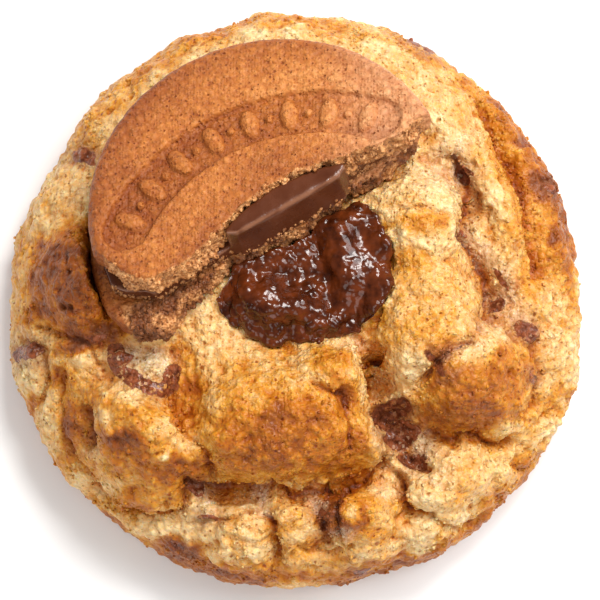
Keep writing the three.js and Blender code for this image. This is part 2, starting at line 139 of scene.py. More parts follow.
def cobblesAt(points, size, seed):  # soft rounded crumbs from 0 to 1, with flat hollows between them
    push = np.stack([noiseAt(points, size * 1.6, seed + k) for k in (1, 2, 3)], 1)
    bent = points + push * size * 0.45 * mm
    return 1 - smooth(cellsAt(bent, size, seed), 0.1, 0.85)


def ovalMask(at, oval, soft):  # 1 inside an oval, falling to 0 outside over a soft edge
    x, y, long, wide, turn = oval[:5]
    c, s = math.cos(math.radians(turn)), math.sin(math.radians(turn))
    dx, dy = at[:, 0] - x, y - at[:, 1]
    reach = np.hypot((dx * c + dy * s) / long, (dy * c - dx * s) / wide)
    return 1 - smooth(reach, 1 - soft, 1 + soft)


def distanceTo(at, line):  # from each place to a line of straight runs
    nearest = np.full(len(at), np.inf)
    for a, b in zip(line, line[1:]):
        a, run = np.array(a, float), np.array(b, float) - np.array(a, float)
        along = np.clip((at - a) @ run / (run @ run), 0, 1)
        nearest = np.minimum(nearest, np.linalg.norm(at - a - along[:, None] * run, axis=1))
    return nearest


def hollowsOf(piece, rounds):  # how far each place lies under the smoothed surface
    points, normals = pointsOf(piece), normalsOf(piece)
    ends = np.empty(len(piece.data.edges) * 2, np.int32)
    piece.data.edges.foreach_get("vertices", ends)
    count = np.bincount(ends, minlength=len(points))
    here, there = ends.reshape(-1, 2).T
    here, there = np.concatenate((here, there)), np.concatenate((there, here))
    soft = points
    for step in range(rounds):
        soft = np.stack([np.bincount(here, soft[there, k], len(points)) / count for k in range(3)], 1)
    return ((soft - points) * normals).sum(1) / mm


def makeActive(piece):
    bpy.ops.object.select_all(action="DESELECT")
    piece.select_set(True)
    bpy.context.view_layer.objects.active = piece


def applyModifier(piece, kind, **settings):
    makeActive(piece)
    modifier = piece.modifiers.new(kind.lower(), kind)
    for name, value in settings.items():
        setattr(modifier, name, value)
    bpy.ops.object.modifier_apply(modifier=modifier.name)


def fineCopy(node, name, grid, rounds):  # a copy of a node with an even, fine mesh, smoothed a few rounds
    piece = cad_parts[node].copy()
    piece.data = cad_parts[node].data.copy()
    piece.parent = None
    piece.name = name
    for key in list(piece.keys()):
        del piece[key]
    bpy.context.collection.objects.link(piece)
    piece.data.materials.clear()
    makeActive(piece)
    bpy.ops.object.mode_set(mode="EDIT")
    bpy.ops.mesh.select_all(action="SELECT")
    bpy.ops.mesh.remove_doubles(threshold=1e-6)
    bpy.ops.object.mode_set(mode="OBJECT")
    applyModifier(piece, "REMESH", mode="VOXEL", voxel_size=grid * mm, use_smooth_shade=True)
    applyModifier(piece, "SMOOTH", factor=0.5, iterations=rounds)
    return piece


def finishPiece(piece, material, node=None):
    piece.data.materials.append(material)
    piece.data.shade_smooth()
    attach(piece, "root")
    if node:
        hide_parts(node)
    print("made", piece.name, sum(len(face.vertices) - 2 for face in piece.data.polygons), "triangles")


# Tools for shader nodes, where a link is a socket or a value.

def addNode(tree, kind, links=None, **settings):
    node = tree.nodes.new(kind)
    for name, value in settings.items():
        setattr(node, name, value)
    for socket, source in (links or {}).items():
        if hasattr(source, "is_linked"):
            tree.links.new(source, node.inputs[socket])
        else:
            node.inputs[socket].default_value = source
    return node


def doMath(tree, operation, a, b=0.0, clamp=False):
    return addNode(tree, "ShaderNodeMath", {0: a, 1: b}, operation=operation, use_clamp=clamp).outputs[0]


def scaled(tree, value, by, offset=0.0, clamp=False):  # value * by + offset
    links = {0: value, 1: by, 2: offset}
    return addNode(tree, "ShaderNodeMath", links, operation="MULTIPLY_ADD", use_clamp=clamp).outputs[0]


def rampTo(tree, value, low, high, start=0.0, end=1.0):
    links = {"Value": value, "From Min": low, "From Max": high, "To Min": start, "To Max": end}
    node = addNode(tree, "ShaderNodeMapRange", links, interpolation_type="SMOOTHSTEP")
    return node.outputs["Result"]


def mixColour(tree, factor, a, b, blend="MIX"):
    links = {0: factor, 6: a, 7: b}
    return addNode(tree, "ShaderNodeMix", links, data_type="RGBA", blend_type=blend).outputs[2]


def tinted(tree, colour, tint):
    return mixColour(tree, 1.0, colour, tint, "MULTIPLY")


def colourSteps(tree, value, steps):
    node = addNode(tree, "ShaderNodeValToRGB", {"Fac": value})
    ramp = node.color_ramp
    while len(ramp.elements) < len(steps):
        ramp.elements.new(0.5)
    for element, (at, colour) in zip(ramp.elements, steps):
        element.position = at
        element.color = (*colour, 1)
    return node.outputs["Color"]


def objectPlace(tree):
    return addNode(tree, "ShaderNodeTexCoord").outputs["Object"]


def noiseNode(tree, place, size, detail=3.0, roughness=0.55):
    links = {"Vector": place, "Scale": 1000 / size, "Detail": detail, "Roughness": roughness}
    return addNode(tree, "ShaderNodeTexNoise", links)


def maskNodes(tree, *names):
    masks = {}
    for name in names:
        masks[name] = addNode(tree, "ShaderNodeAttribute", attribute_name=name).outputs["Fac"]
    return masks


def newMaterial(name):
    material = bpy.data.materials.new(name)
    material.use_nodes = True
    tree = material.node_tree
    return material, tree, tree.nodes["Principled BSDF"]


def addBump(tree, shader, height, deep):
    bump = addNode(tree, "ShaderNodeBump", {"Height": height, "Distance": deep * mm})
    tree.links.new(bump.outputs["Normal"], shader.inputs["Normal"])


# Baked crumb, the effect that the dough and the biscuit share: small cells that are grains or pits,
# on soft clumps, with open pores of two sizes. Its inputs are millimetres, apart from Clumps.
crumbInputs = {"Grain": 0.42, "Pore Spacing": 0.8, "Pore": 0.17, "Hole": 0.34, "Clumps": 0.8}
crumbOutputs = ("Height", "Gap Shade", "Pores", "Speckle", "Pale Highlight")


def makeCrumbGroup():
    t = bpy.data.node_groups.new("crumb", "ShaderNodeTree")
    for label, value in crumbInputs.items():
        socket = t.interface.new_socket(label, in_out="INPUT", socket_type="NodeSocketFloat")
        socket.default_value = value
    for label in crumbOutputs:
        t.interface.new_socket(label, in_out="OUTPUT", socket_type="NodeSocketFloat")
    size = addNode(t, "NodeGroupInput").outputs
    place = objectPlace(t)
    middle = (0.5, 0.5, 0.5)
    wobble = noiseNode(t, place, 0.8, 2.0).outputs["Color"]
    wobble = addNode(t, "ShaderNodeVectorMath", {0: wobble, 1: middle}, operation="SUBTRACT").outputs[0]
    wobble = addNode(t, "ShaderNodeVectorMath", {0: wobble, "Scale": 0.4 * mm}, operation="SCALE").outputs[0]
    bent = addNode(t, "ShaderNodeVectorMath", {0: place, 1: wobble}, operation="ADD").outputs[0]

    def cells(wide):  # distance from each cell's middle, and each cell's own random numbers
        scale = doMath(t, "DIVIDE", 1000.0, wide)
        found = addNode(t, "ShaderNodeTexVoronoi", {"Vector": bent, "Scale": scale}).outputs
        return found["Distance"], addNode(t, "ShaderNodeSeparateColor", {"Color": found["Color"]}).outputs

    def openings(spacing, wide, share):
        near, chance = cells(spacing)
        spread = scaled(t, chance["Green"], 0.9, 0.5)
        reach = doMath(t, "MULTIPLY", doMath(t, "DIVIDE", wide, spacing), spread)
        inside = doMath(t, "SUBTRACT", 1.0, doMath(t, "DIVIDE", near, reach), clamp=True)
        isOpen = doMath(t, "LESS_THAN", chance["Red"], share)
        return doMath(t, "MULTIPLY", rampTo(t, inside, 0.0, 0.75), isOpen)

    away, chance = cells(size["Grain"])
    dome = rampTo(t, away, 0.7, 0.1)
    pit = doMath(t, "MULTIPLY", dome, scaled(t, chance["Red"], 1.6, -0.7, clamp=True))
    grain = doMath(t, "MULTIPLY", dome, scaled(t, chance["Red"], -1.6, 0.9, clamp=True))
    clumpSize = doMath(t, "MULTIPLY", size["Grain"], 2.4)
    clump = rampTo(t, cells(clumpSize)[0], 0.8, 0.08)
    patch = noiseNode(t, place, 4.5, 3.0).outputs["Fac"]
    lumps = noiseNode(t, place, 1.5, 3.0, 0.6).outputs["Fac"]
    sand = noiseNode(t, place, 0.28, 2.0, 0.6).outputs["Fac"]
    holeSpacing = 2.2
    finePores = openings(size["Pore Spacing"], size["Pore"], scaled(t, patch, 1.6, -0.36))
    holes = openings(holeSpacing, size["Hole"], scaled(t, patch, 1.2, -0.3))
    pores = doMath(t, "MAXIMUM", finePores, holes)

    height = doMath(t, "SUBTRACT", doMath(t, "MULTIPLY", clump, size["Clumps"]), scaled(t, pit, 0.36))
    for part, rise in ((grain, 0.5), (lumps, 0.2), (sand, 0.16), (pores, -0.42)):
        height = doMath(t, "ADD", height, scaled(t, part, rise))
    # painted shade in the pits and in the low ground between the clumps
    gapShade = doMath(t, "ADD", scaled(t, pit, 0.75), scaled(t, clump, -0.5, 0.4), clamp=True)
    # a painted highlight on the grain tops and in pale sandy patches
    sheenAndDust = doMath(t, "MAXIMUM", rampTo(t, sand, 0.52, 0.68), scaled(t, grain, 0.8))
    sheenAndDust = doMath(t, "MULTIPLY", sheenAndDust, doMath(t, "SUBTRACT", 1.0, gapShade, clamp=True))
    out = addNode(t, "NodeGroupOutput").inputs
    for label, source in zip(crumbOutputs, (height, gapShade, pores, chance["Blue"], sheenAndDust)):
        t.links.new(source, out[label])
    return t


def useCrumb(tree, **sizes):
    node = addNode(tree, "ShaderNodeGroup", node_tree=crumbGroup)
    for label, value in sizes.items():
        node.inputs[label.replace("_", " ")].default_value = value
    return node.outputs


# colours a crumb: painted shade between the grains and in the pits, painted shade in the pores, and a pale
# painted sheen on top
def shaded(tree, colour, crumb, gapShadeTint, poreShadeTint, sheenAndDust):
    grainy = mixColour(tree, crumb["Gap Shade"], colour, tinted(tree, colour, gapShadeTint))
    light = scaled(tree, crumb["Speckle"], 0.2, 0.92)
    grey = addNode(tree, "ShaderNodeCombineColor", {0: light, 1: light, 2: light}).outputs[0]
    grainy = tinted(tree, grainy, grey)
    grainy = mixColour(tree, doMath(tree, "MULTIPLY", crumb["Pale Highlight"], sheenAndDust), grainy, (0.95, 0.84, 0.64, 1))
    return mixColour(tree, crumb["Pores"], grainy, tinted(tree, colour, poreShadeTint))


# Small uneven grains joined in one mesh, partly sunk in the source piece. Size is a range of radii,
# sink is a share of the radius, and the masks are taken over from the source, browning a little unevenly.
def scatter(source, name, count, size, weights, seed, sink, masks):
    bpy.ops.object.select_all(action="DESELECT")
    bpy.ops.mesh.primitive_ico_sphere_add(subdivisions=1, radius=1)
    piece = bpy.context.object
    piece.name = name
    grain = pointsOf(piece)
    faces = np.array([face.vertices[:] for face in piece.data.polygons])
    points, normals = pointsOf(source), normalsOf(source)
    draw = np.random.RandomState(seed)
    chosen = draw.choice(len(points), count, p=weights / weights.sum())
    radius = size[0] + (size[1] - size[0]) * draw.rand(count) ** 2
    angles = draw.rand(count, 2) * 6.3
    turns = [np.array(Matrix.Rotation(a, 3, "X") @ Matrix.Rotation(b, 3, "Z")) for a, b in angles]
    stretch = 0.75 + 0.5 * draw.rand(count, 3)
    bumpy = 1 + 0.3 * (draw.rand(count, len(grain), 1) - 0.5)
    shapes = np.einsum("nij,nkj->nki", np.array(turns), grain * bumpy * stretch[:, None])
    shapes = shapes * radius[:, None, None] * mm
    middles = points[chosen] + normals[chosen] * (radius * (0.5 - sink))[:, None] * mm
    vertices = (shapes + middles[:, None]).reshape(-1, 3)
    triangles = (faces[None] + len(grain) * np.arange(count)[:, None, None]).reshape(-1, 3)
    mesh = bpy.data.meshes.new(name)
    mesh.from_pydata(vertices.tolist(), [], triangles.tolist())
    piece.data = mesh
    for mask in masks:
        shade = (draw.rand(count) - 0.5) * 0.16 if mask == "browning" else np.zeros(count)
        setMask(piece, mask, np.repeat(maskOf(source, mask)[chosen] + shade, len(grain)))
    return piece


# The dough. These lists hold what the picture shows on it, as ovals in the picture's pixels:
# middle, half length, half width, turn in degrees, and a value of its own.

# how brown it is baked, each oval laid over those before it
browned = [
    (80, 288, 40, 50, 10, 0.84), (60, 262, 26, 26, 0, 0.86), (50, 300, 20, 26, 0, 0.72),
    (62, 320, 40, 14, 0, 0.7), (75, 242, 26, 12, 20, 0.72), (92, 334, 40, 14, 10, 0.92),
    (62, 375, 14, 12, 30, 0.62), (78, 395, 20, 24, 30, 0.5), (178, 372, 20, 26, 0, 0.36),
    (125, 443, 30, 12, -20, 0.74), (130, 438, 14, 8, 0, 0.84), (76, 428, 12, 20, 0, 0.76),
    (155, 468, 64, 22, -14, 0.6), (192, 468, 22, 14, -14, 0.68), (260, 430, 90, 60, 0, 0.58),
    (330, 448, 50, 36, 0, 0.62), (335, 365, 26, 14, -24, 0.54), (345, 398, 12, 20, 8, 0.68),
    (250, 452, 38, 24, 0, 0.6), (200, 388, 16, 8, 0, 0.66), (416, 222, 36, 9, 4, 0.54),
    (402, 262, 24, 16, 0, 0.34), (404, 332, 28, 22, 0, 0.34), (366, 318, 14, 34, 20, 0.4),
    (478, 376, 60, 54, -15, 0.46), (500, 380, 28, 28, 0, 0.6), (462, 416, 46, 18, -4, 0.78),
    (505, 115, 34, 18, -48, 0.6), (540, 168, 40, 18, -62, 0.68), (566, 240, 52, 12, -80, 0.66),
    (572, 300, 26, 8, -88, 0.44), (500, 104, 12, 6, -48, 0.72), (547, 190, 13, 22, 10, 0.9),
    (560, 225, 10, 30, 10, 0.78), (525, 140, 9, 8, 0, 0.74), (515, 180, 44, 18, -60, 0.53),
    (532, 255, 26, 60, 8, 0.44), (480, 140, 18, 40, 20, 0.26), (425, 62, 28, 10, -32, 0.44),
    (465, 86, 30, 10, -44, 0.44), (385, 40, 30, 7, -16, 0.4), (290, 24, 66, 10, 0, 0.5),
    (430, 310, 44, 44, 0, 0.34), (210, 38, 36, 10, 20, 0.54), (160, 66, 40, 12, 34, 0.48),
    (110, 104, 30, 14, 46, 0.4), (80, 132, 20, 20, 0, 0.42), (88, 226, 14, 9, 0, 0.5),
    (22, 260, 10, 50, 0, 0.36), (50, 190, 16, 30, 20, 0.24), (30, 408, 10, 14, 30, 0.58),
    (84, 502, 40, 7, -40, 0.6), (110, 524, 22, 7, -20, 0.7), (200, 562, 60, 11, -15, 0.72),
    (178, 546, 18, 9, -10, 0.8), (240, 574, 50, 9, -6, 0.78), (300, 548, 24, 18, 0, 0.38),
    (372, 515, 34, 34, 0, 0.46), (378, 512, 20, 20, 0, 0.56), (345, 513, 14, 12, 0, 0.82),
    (326, 512, 14, 18, 0, 0.78), (500, 498, 24, 20, 40, 0.44), (470, 538, 50, 11, 34, 0.74),
    (512, 500, 30, 12, 50, 0.7), (526, 466, 12, 18, 30, 0.52), (541, 448, 10, 24, 22, 0.42),
    (564, 392, 14, 9, 0, 0.54), (350, 572, 54, 10, 6, 0.76), (420, 560, 46, 10, 20, 0.7),
    (140, 502, 36, 14, 0, 0.56), (68, 455, 12, 26, -24, 0.52), (452, 368, 16, 20, 0, 0.5),
    (476, 420, 32, 14, -4, 0.78), (122, 413, 26, 13, -28, 0.58), (76, 340, 22, 10, 10, 0.86),
    (286, 410, 26, 18, 0, 0.62), (250, 566, 50, 8, 0, 0.6), (342, 512, 20, 22, 0, 0.98),
    (450, 368, 24, 28, 0, 0.76), (292, 415, 26, 19, 0, 0.72), (270, 445, 46, 26, 0, 0.68),
    (563, 215, 10, 34, 16, 0.72), (550, 430, 18, 34, 20, 0.5), (292, 520, 14, 20, 0, 0.34),
]
# places that stay paler than what is round them, with how brown they are
paleSpots = [
    (52, 338, 18, 12, 20, 0.28), (150, 408, 16, 5, -32, 0.34), (182, 438, 22, 11, -30, 0.2),
    (165, 456, 6, 5, 0, 0.1), (216, 396, 16, 20, 20, 0.3), (286, 384, 26, 16, 0, 0.34),
    (256, 400, 14, 14, 0, 0.4), (362, 366, 10, 14, -50, 0.2), (378, 432, 10, 34, 8, 0.28),
    (284, 482, 80, 6, 0, 0.38), (384, 486, 16, 7, -10, 0.22), (330, 562, 30, 10, 0, 0.3),
    (286, 512, 22, 22, 0, 0.3), (102, 376, 14, 12, 0, 0.3), (508, 428, 26, 10, 10, 0.26),
    (417, 531, 15, 15, 0, 0.0), (388, 405, 8, 7, 0, 0.2), (406, 370, 20, 18, 0, 0.14),
    (392, 384, 10, 14, 0, 0.2), (243, 540, 24, 26, 0, 0.2), (468, 480, 24, 22, 0, 0.3),
    (440, 180, 30, 18, 0, 0.1), (470, 262, 12, 32, 12, 0.16), (558, 330, 16, 34, 0, 0.16),
    (546, 428, 14, 10, 0, 0.12), (278, 36, 40, 8, 0, 0.1), (145, 366, 22, 14, 10, 0.16),
    (475, 348, 22, 14, 20, 0.24), (352, 508, 8, 12, 0, 0.3), (384, 520, 14, 16, 0, 0.3),
]
# crumb stained by chocolate, with how strong the stain is
stained = [
    (496, 280, 12, 28, 28, 0.36), (514, 252, 6, 12, 0, 0.6), (470, 218, 9, 30, -4, 0.5),
    (446, 152, 22, 12, 20, 0.3), (404, 436, 30, 38, 30, 0.75), (436, 362, 12, 26, -40, 0.55),
    (488, 318, 18, 12, 20, 0.55), (116, 374, 24, 12, 20, 0.5), (150, 396, 20, 9, -20, 0.4),
    (202, 504, 16, 16, 0, 0.5), (222, 498, 30, 8, 0, 0.3), (182, 548, 16, 10, 0, 0.35),
    (318, 520, 14, 22, 0, 0.4), (86, 342, 20, 10, 0, 0.5), (76, 428, 12, 20, 0, 0.4),
    (530, 378, 9, 12, 0, 0.5), (543, 190, 8, 14, 0, 0.4), (418, 54, 16, 9, -40, 0.55),
    (80, 158, 18, 14, -20, 0.4), (360, 570, 26, 8, 8, 0.4), (505, 100, 10, 8, 0, 0.3),
    (78, 196, 20, 6, 26, 0.4), (36, 352, 20, 12, 0, 0.4),
]
# crumb under a dust of flour and sugar, with how strong it is
dusted = [
    (154, 366, 18, 14, 10, 0.85), (205, 502, 12, 10, 0, 0.7), (258, 502, 10, 8, 0, 0.6),
    (415, 446, 14, 14, 0, 0.5), (484, 252, 9, 18, 24, 0.65), (128, 352, 12, 8, 0, 0.6),
    (440, 176, 30, 16, 0, 0.4), (352, 346, 14, 8, 0, 0.4), (440, 476, 14, 10, 0, 0.4),
    (456, 144, 24, 12, 30, 0.4), (470, 350, 24, 14, 30, 0.35), (316, 500, 8, 10, 0, 0.5),
    (384, 490, 12, 8, 0, 0.4), (344, 534, 12, 8, 0, 0.4), (510, 300, 14, 30, 20, 0.35),
    (496, 330, 10, 14, 30, 0.4),
]
# pieces of chocolate in the dough, with how far they stand out in millimetres
chunks = [
    (524, 332, 13, 9, -48, 1.0), (31, 352, 14, 7, 10, 0.4), (82, 156, 12, 8, -20, 0.2),
    (124, 358, 9, 8, 0, 0.5), (88, 430, 3, 13, 4, -0.8), (199, 491, 9, 4, 0, 0.3),
    (206, 516, 11, 4, 4, 0.2), (176, 546, 8, 4, -10, 0.1), (394, 414, 13, 12, 20, -1.2),
    (405, 436, 14, 12, 40, -1.2), (414, 458, 14, 7, 20, -0.5), (434, 364, 16, 5, -48, -0.3),
    (318, 512, 5, 10, 0, -0.4), (323, 532, 4, 7, 0, -0.2), (364, 570, 10, 3, 8, 0.1),
    (531, 379, 4, 6, 10, 0.2), (409, 44, 9, 4, -34, 0.2), (424, 52, 8, 4, -44, 0.2),
    (467, 170, 7, 4, -30, 0.1), (468, 222, 4, 20, 2, -0.2), (461, 173, 5, 8, 30, -0.2),
    (501, 277, 14, 3, -60, -0.1), (498, 305, 5, 7, 0, 0.1), (545, 192, 3, 6, 0, 0.0),
    (499, 308, 5, 5, 0, 0.3), (96, 338, 14, 5, 10, 0.1),
]
# places where the dough has broken into coarse crumbs, with their height in millimetres
crumbled = [
    (558, 330, 20, 40, 0, 0.6), (417, 531, 17, 16, 0, 0.6), (545, 428, 22, 22, 0, 0.4),
    (500, 450, 34, 14, 20, 0.35), (390, 404, 12, 8, 0, 0.5), (243, 540, 26, 26, 0, 0.35),
    (182, 425, 22, 12, -30, 0.3), (350, 350, 22, 12, -10, 0.3), (56, 338, 22, 14, 10, 0.3),
    (470, 215, 10, 40, 0, 0.3), (160, 530, 30, 10, -10, 0.3), (286, 486, 60, 8, 0, 0.35),
    (400, 486, 18, 10, 0, 0.35), (500, 300, 14, 40, 20, 0.35), (480, 120, 24, 30, 30, 0.2),
    (330, 556, 30, 12, 0, 0.3),
]
# small forms on the lumps, with their height in millimetres, down where negative
bumps = [
    (165, 456, 6, 5, 0, 0.6), (388, 404, 9, 8, 0, 0.9), (417, 531, 15, 15, 0, 1.1),
    (346, 352, 10, 6, 20, 0.5), (404, 520, 6, 6, 0, -0.9), (167, 505, 4, 5, 0, -0.8),
    (60, 345, 8, 7, 0, 0.4), (424, 500, 16, 12, 0, 0.4), (468, 486, 18, 14, 30, 0.7),
    (446, 500, 12, 8, 0, 0.4), (500, 470, 12, 9, 0, 0.5), (488, 510, 12, 9, 30, 0.6),
    (243, 540, 22, 24, 0, 0.5), (222, 552, 12, 9, 0, 0.4), (300, 556, 16, 9, 0, 0.5),
    (326, 558, 14, 8, 0, 0.5), (122, 502, 22, 9, 10, 0.4), (155, 500, 14, 9, 0, 0.3),
    (150, 530, 20, 6, -10, 0.4), (226, 440, 14, 10, 0, 0.5), (272, 456, 16, 10, 0, 0.6),
    (250, 470, 10, 8, 0, 0.4), (215, 402, 10, 14, 0, 0.4), (262, 404, 12, 9, 0, 0.3),
    (510, 130, 12, 8, -48, 0.7), (524, 158, 8, 10, 0, 0.6), (548, 200, 9, 14, 0, 0.6),
    (563, 250, 8, 16, 0, 0.6), (556, 330, 10, 12, 0, 0.4), (562, 356, 9, 12, 0, 0.4),
    (548, 425, 12, 9, 0, 0.5), (530, 440, 10, 8, 0, 0.4), (110, 440, 12, 6, -20, -0.3),
    (180, 430, 16, 6, -30, 0.3), (345, 398, 8, 14, 0, -0.5), (310, 398, 10, 5, 20, -0.4),
    (440, 205, 16, 8, 0, 0.3), (470, 195, 4, 14, 0, 0.3), (480, 228, 5, 12, 0, 0.5),
    (40, 230, 12, 14, 0, 0.4), (280, 36, 30, 8, 0, 0.4), (200, 44, 16, 7, 20, 0.5),
    (430, 54, 14, 8, -40, 0.5), (156, 366, 13, 11, 10, 0.3),
]
# runs of melted chocolate: width in pixels, height in millimetres, line
meltLines = [
    (7.5, 0.6, [(116, 350), (117, 364), (124, 374), (136, 381), (150, 388), (163, 391),
      (169, 385), (172, 372)]),
]
# sharp creases: width in pixels, depth in millimetres, line
creases = [
    (2.6, 1.8, [(190, 487), (215, 491), (250, 494), (274, 490), (300, 496), (345, 486),
      (386, 471), (392, 462)]),
    (3.0, 2.6, [(372, 358), (374, 368), (377, 384), (380, 398)]),
    (4.4, 1.6, [(384, 408), (396, 424), (402, 440), (412, 456), (424, 466)]),
    (2.6, 1.5, [(426, 434), (448, 440), (472, 437), (496, 445), (508, 442)]),
    (3.0, 1.6, [(452, 160), (466, 186), (474, 214), (466, 236), (480, 266), (491, 297), (490, 315)]),
    (2.8, 1.2, [(480, 96), (494, 128), (516, 175), (530, 225), (540, 275)]),
    (3.2, 1.6, [(264, 510), (271, 532), (278, 560)]), (3.0, 1.3, [(313, 500), (318, 520), (326, 544)]),
    (2.6, 1.8, [(397, 478), (403, 500), (410, 514), (430, 518)]),
    (2.8, 1.6, [(85, 405), (88, 424), (89, 442)]),
    (2.4, 0.9, [(26, 342), (43, 346), (48, 370), (42, 400)]),
    (2.4, 1.3, [(94, 486), (120, 512), (150, 520), (180, 516), (187, 500), (189, 488)]),
    (2.4, 0.9, [(173, 350), (174, 378), (170, 396), (180, 424), (204, 456), (213, 482)]),
    (2.2, 0.6, [(90, 352), (110, 346), (150, 350), (172, 350)]),
    (2.4, 0.9, [(40, 328), (88, 343), (98, 365)]), (2.0, 0.7, [(446, 213), (420, 205), (396, 209)]),
    (2.4, 0.8, [(506, 460), (520, 470), (532, 465)]),
    (2.0, 0.7, [(200, 522), (222, 518), (240, 512), (262, 508)]),
    (2.0, 0.8, [(312, 383), (330, 392), (346, 396)]),
    (3.0, 1.7, [(420, 386), (432, 366), (450, 349), (474, 338)]),
    (2.0, 0.7, [(350, 398), (353, 425), (350, 450)]),
    (2.0, 0.8, [(64, 372), (62, 400), (66, 430), (80, 460), (100, 486)]),
    (2.2, 0.8, [(336, 496), (334, 520), (340, 546)]),
    (2.0, 0.7, [(280, 562), (300, 548), (330, 552), (352, 548)]),
    (2.0, 0.7, [(528, 345), (540, 370), (532, 400), (520, 420)]),
    (2.2, 0.8, [(432, 520), (460, 530), (482, 520), (500, 500), (520, 490)]),
    (2.0, 0.6, [(386, 250), (380, 290), (372, 330)]),
]
# how far the rim stands out from the plain form: degrees round the cookie, millimetres
rimSwell = [
    (0, -0.2), (10, -0.3), (20, 1.1), (30, 0.1), (45, -0.1), (60, 0.9), (70, 0.7), (80, -0.7), (90, 0.1),
    (105, 0.2), (120, 0.6), (130, 0.5), (140, 0.8), (150, -0.7), (160, 0.2), (180, 0.2), (190, 0.7),
    (200, 0.5), (210, 1.0), (220, 0.6), (235, 0.2), (290, 0.2), (300, 0.6), (310, -0.1), (320, 0.4),
    (330, 1.0), (340, 0.6), (350, 0.7),
]
dough = {
    # the mesh: its grid, and the share of triangles that is kept
    "grid": 0.7,
    "keep": 0.64,
    # relief, as pairs of size and height
    "lumps": (3.6, 0.24),
    "crags": (1.5, 0.14),
    "clumps": (1.15, 0.22),
    "cobbles": (2.2, 0.46),
    "holes": (2.6, 0.55),
    "chunkRoughness": (1.3, 0.5),
    "creaseDepth": 1.35,
    # waves that make every edge in the picture uneven
    "bend": 4.5,
    "ripple": 1.4,
    # loose grains: how many, their range of radii, and how deep they sit
    "grains": 3500,
    "grainSize": (0.14, 0.34),
    "grainSink": 0.35,
    # how brown it is where no oval says so, with waves in it as pairs of size and strength
    "bareBrown": 0.16,
    "sideBrown": 0.36,
    "footBrown": 0.64,
    "baseBrown": 0.68,
    # the dark painted shadow line along the creases' bottoms
    "creaseShadow": 0.86,
    "sideClouds": (8, 0.3),
    "clouds": (3.2, 0.16),
    "specks": (1.3, 0.1),
    # the foot's brown fades between two heights, which rise and fall in waves
    "footHeights": (3, 9),
    "footWaves": (5, 3),
    # pixels by which chocolate stains the crumb round it, and how strongly
    "halo": 7,
    "haloStain": 0.75,
}
doughMasks = ("browning", "chocolate", "stain", "dust", "hollow")


def swellRim(points):
    reach = np.hypot(points[:, 0], points[:, 1])
    bearing = np.degrees(np.arctan2(points[:, 1], points[:, 0]))
    degrees, swells = zip(*rimSwell)
    outward = np.interp(bearing, degrees, swells, period=360) * smooth(reach / mm, 28, 38)
    points[:, :2] *= 1 + (outward * mm / np.maximum(reach, mm))[:, None]


def placesOn(points, normals):  # where the dough's points show in the picture, and how openly
    at = pictureOf(points)
    facing = -(normals @ viewAxes()[2])
    bend = np.stack([noiseAt(points, dough["bend"], k) for k in (3, 4)], 1)
    ripple = np.stack([noiseAt(points, dough["ripple"], k) for k in (5, 6)], 1)
    return {
        "seen": smooth(facing, 0.05, 0.4),
        "shown": smooth(facing, -0.06, 0.1),  # the picture's colours reach a little round the edge
        "onBase": 1 - smooth(points[:, 2], 0.1 * mm, 0.9 * mm),
        "bump": at + ripple * 2,
        "crease": at + bend * 2 + ripple * 1.5,
        "melt": at + bend * 2 + ripple * 2,
        "near": at + bend * 5 + ripple * 3,
        "far": at + bend * 9 + ripple * 5,
    }


def creasesAt(at):  # their depth at each place, and how near their bottom it is, for a painted shadow line there
    depths, shadowLine = np.zeros(len(at)), np.zeros(len(at))
    for wide, depth, line in creases:
        away = distanceTo(at, line) / (wide * 1.3)
        shadowLine = np.maximum(shadowLine, smooth(depth, 0.4, 1.6) * np.exp(-(1.9 * away) ** 2))
        depths = np.maximum(depths, depth * (0.65 * np.exp(-away ** 2) + 0.35 * np.exp(-(away / 2.8) ** 2)))
    return depths, shadowLine


def addChocolate(points, place, out):  # raises its pieces and runs, and gives both masks
    chocolate, stain = np.zeros(len(points)), np.zeros(len(points))
    for x, y, long, wide, turn, rise in chunks:
        mask = ovalMask(place["near"], (x, y, long, wide, turn), 0.4)
        chocolate = np.maximum(chocolate, mask)
        halo = (x, y, long + dough["halo"], wide + dough["halo"], turn)
        stain = np.maximum(stain, dough["haloStain"] * ovalMask(place["far"], halo, 0.8))
        out += rise * mask
    out += chocolate * (waves(points, dough["chunkRoughness"], 15) + 0.1)
    for wide, rise, line in meltLines:
        mask = 1 - smooth(distanceTo(place["melt"], line), wide * 0.5, wide * 1.6)
        chocolate = np.maximum(chocolate, mask)
        out += rise * mask
    return chocolate * place["shown"], stain


def addCrumb(points, place, out, crumbly):  # raises the dough's own relief where it is crumbly
    out += waves(points, dough["lumps"], 1) * crumbly
    out += waves(points, dough["crags"], 2) * crumbly
    broken = np.max([oval[5] * ovalMask(place["far"], oval, 0.6) for oval in crumbled], 0)
    coarse = dough["clumps"][1] + broken * place["seen"]
    out += (cobblesAt(points, dough["clumps"][0], 7) - 0.5) * coarse * crumbly
    out += (cobblesAt(points, dough["cobbles"][0], 17) - 0.5) * dough["cobbles"][1] * crumbly
    pits = smooth(grainsAt(points, dough["holes"][0], 8), 0.86, 1.0)
    pits = pits * smooth(noiseAt(points, 6, 9), 0.0, 0.35)
    out -= pits * dough["holes"][1] * crumbly


